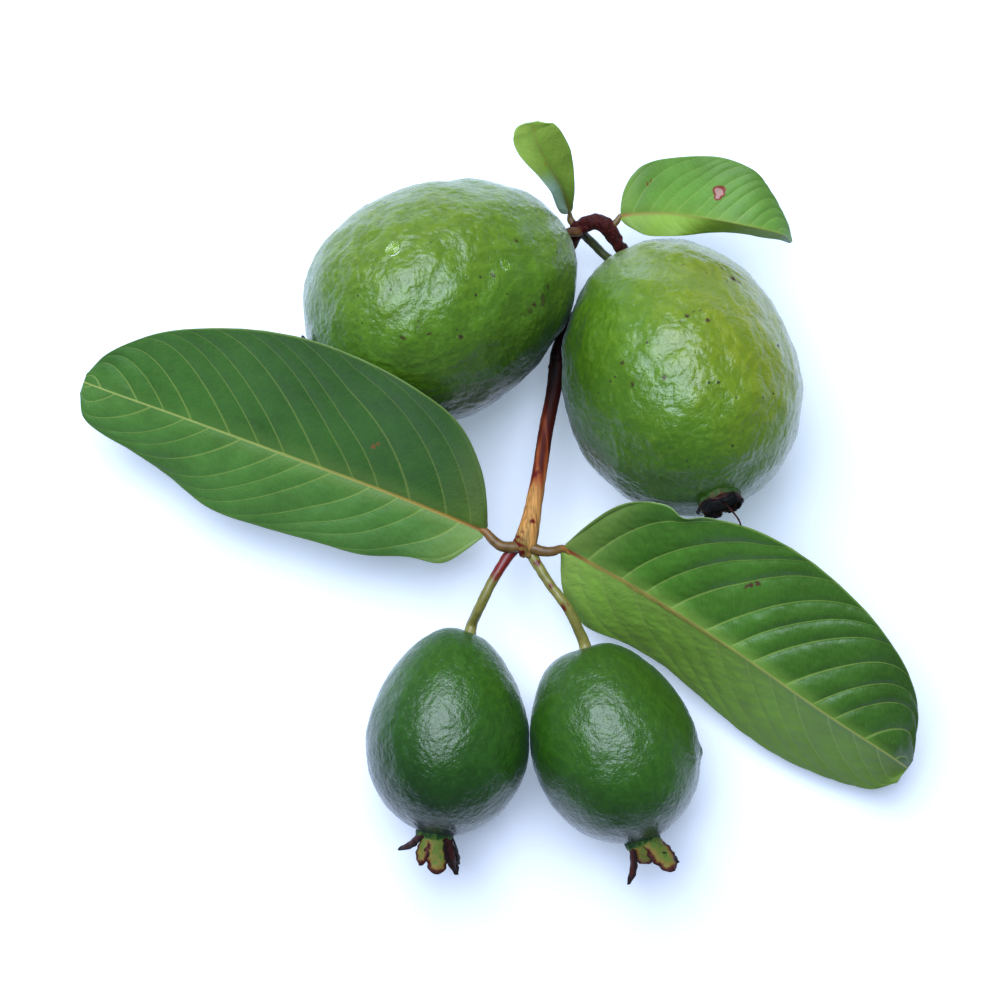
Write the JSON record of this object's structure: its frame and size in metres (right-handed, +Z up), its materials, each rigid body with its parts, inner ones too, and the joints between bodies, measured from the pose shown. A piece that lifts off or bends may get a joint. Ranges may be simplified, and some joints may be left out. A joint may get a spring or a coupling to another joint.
{
  "type": "guava fruiting sprig",
  "caption": "Cut sprig of common guava lying flat: large and small green fruit on short and long stalks, broad leaves in opposite pairs and a knobbly woody twig.",
  "frame": {"origin": "under the middle of the sprig's bounding box, on the surface that it lies on", "axes": "+X across the sprig, along its longest extent, from the left large leaf to the right one; +Y from the young tip with the small fruit to the older node with the large fruit; +Z up from the surface, the way the picture looks down"},
  "size_m": [0.2439, 0.2159, 0.0709],
  "materials": {
    "large_skin": "glossy waxy skin, yellow-green, finely bumpy, with brown specks",
    "small_skin": "glossy waxy skin, dark green, finely bumpy",
    "large_blade": "semi-gloss mature leaf, mid green, with yellow veins",
    "small_blade": "semi-gloss young leaf, light green",
    "bark": "satin, dark red-brown bark turning orange-tan at the young node",
    "green_stalk": "satin, yellow-green with red patches",
    "dry_calyx": "dry, matt, olive turning dark brown at the edges"
  },
  "bodies": {
    "root": {"twig": "bark", "guava_large_left": "large_skin", "guava_large_right": "large_skin", "guava_small_left": "small_skin", "guava_small_right": "small_skin", "stalk_large_left": "green_stalk", "stalk_large_right": "green_stalk", "stalk_small_left": "green_stalk", "stalk_small_right": "green_stalk", "crown_large_left": "dry_calyx", "crown_large_right": "dry_calyx", "crown_small_left": "dry_calyx", "crown_small_right": "dry_calyx", "leaf_large_left": "large_blade", "leaf_large_right": "large_blade", "leaf_small_left": "small_blade", "leaf_small_right": "small_blade"}
  },
  "joints": []
}
